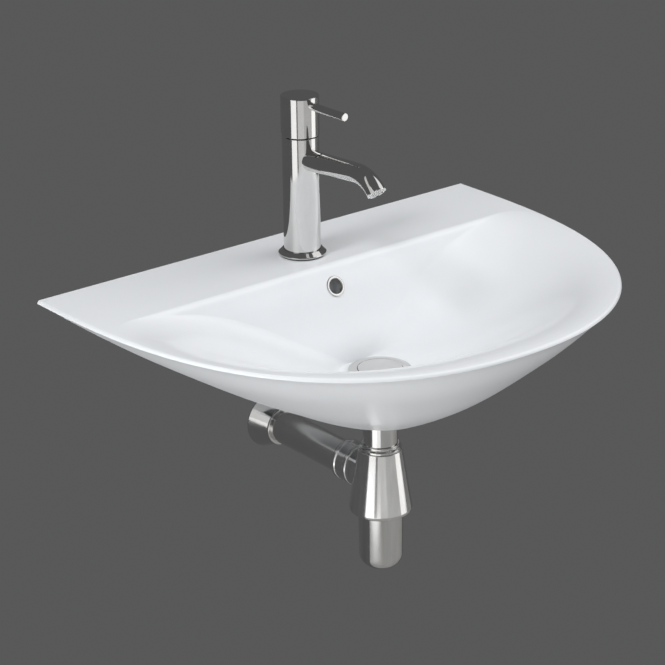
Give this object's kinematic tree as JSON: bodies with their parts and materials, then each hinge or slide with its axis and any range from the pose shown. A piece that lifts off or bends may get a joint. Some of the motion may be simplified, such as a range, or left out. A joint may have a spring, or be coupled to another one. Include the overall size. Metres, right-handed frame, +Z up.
{
  "type": "wall-hung basin",
  "caption": "Wall-hung white glazed basin with a chrome lever mixer tap, click waste, chrome bottle trap, outlet pipe and wall rosette, on two wall studs.",
  "frame": {"origin": "the wall plane, midway between the two wall studs", "axes": "+X along the wall, to the right seen from the front; -Y from the wall to the basin's front, so +Y into the wall; +Z up"},
  "size_m": [0.55, 0.46, 0.4715],
  "materials": {
    "china": "white glaze",
    "chrome": "polished chrome plate",
    "steel": "plain steel",
    "brass": "turned brass",
    "white_plastic": "moulded plastic",
    "disc_ceramic": "lapped ceramic",
    "rubber": "soft rubber"
  },
  "bodies": {
    "basin": {"basin_body": "china", "overflow_ring": "chrome", "wall_studs": "steel", "wall_sleeves": "white_plastic", "wall_washers": "steel", "wall_nuts": "steel", "tap_body": "chrome", "tap_base_ring": "chrome", "tap_base_seal": "rubber", "tap_fixing_stud": "steel", "tap_fixing_gasket": "rubber", "tap_fixing_washer": "steel", "tap_fixing_nut": "brass", "aerator_shell": "chrome", "aerator_plate": "white_plastic", "aerator_seal": "rubber", "cartridge_base": "white_plastic", "cartridge_port_seals": "rubber", "cartridge_fixed_disc": "disc_ceramic", "cartridge_housing": "white_plastic", "cartridge_ring": "rubber", "cartridge_retainer": "brass", "waste_body": "chrome", "waste_flange_seal": "rubber", "waste_lower_seal": "rubber", "waste_back_nut": "brass", "click_housing": "white_plastic", "click_spring": "steel", "trap_dip_tube": "chrome", "trap_union_nut": "chrome", "trap_union_washer": "rubber", "trap_inlet_nut": "chrome", "trap_inlet_seal": "rubber", "trap_body": "chrome", "trap_outlet_nut": "chrome", "trap_outlet_seal": "rubber", "trap_outlet_pipe": "chrome", "wall_rosette": "chrome"},
    "turret": {"cartridge_turret": "white_plastic", "cartridge_pivot_pin": "steel"},
    "handle": {"handle_cap": "chrome", "handle_lever": "chrome", "handle_grub_screw": "steel", "handle_screw_cover": "chrome", "cartridge_stem": "brass"},
    "disc": {"cartridge_disc_carrier": "white_plastic", "cartridge_sliding_disc": "disc_ceramic"},
    "plug": {"plug_cap": "chrome", "plug_seal": "rubber", "plug_plunger": "white_plastic"},
    "cup_seal": {"trap_cup_seal": "rubber"},
    "cup": {"trap_cup": "chrome"}
  },
  "joints": [
    {"name": "handle_swivel", "type": "hinge", "parent": "basin", "child": "turret", "pos_m": [0, -0.063, 0.175], "axis": [0, 0, 1], "range_deg": [-45, 45]},
    {"name": "handle_lift", "type": "hinge", "parent": "turret", "child": "handle", "pos_m": [0, -0.063, 0.175], "axis": [-1, 0, 0], "range_deg": [0, 18]},
    {"name": "disc_slide", "type": "slide", "parent": "turret", "child": "disc", "axis": [0, -1, 0], "range_m": [0, 0.0032]},
    {"name": "plug_travel", "type": "slide", "parent": "basin", "child": "plug", "axis": [0, 0, 1], "range_m": [0, 0.008], "deforming": ["click_spring"]},
    {"name": "cup_drop", "type": "slide", "parent": "basin", "child": "cup_seal", "axis": [0, 0, -1], "range_m": [0, 0.0101]},
    {"name": "cup_unscrew", "type": "hinge", "parent": "cup_seal", "child": "cup", "pos_m": [0, -0.184, -0.18], "axis": [0, 0, -1], "range_deg": [0, 720]}
  ],
  "couplings": [
    {"joint": "disc_slide", "follows": "handle_lift", "m_per_rad": 0.01},
    {"joint": "cup_drop", "follows": "cup_unscrew", "m_per_rad": 0.000796}
  ]
}
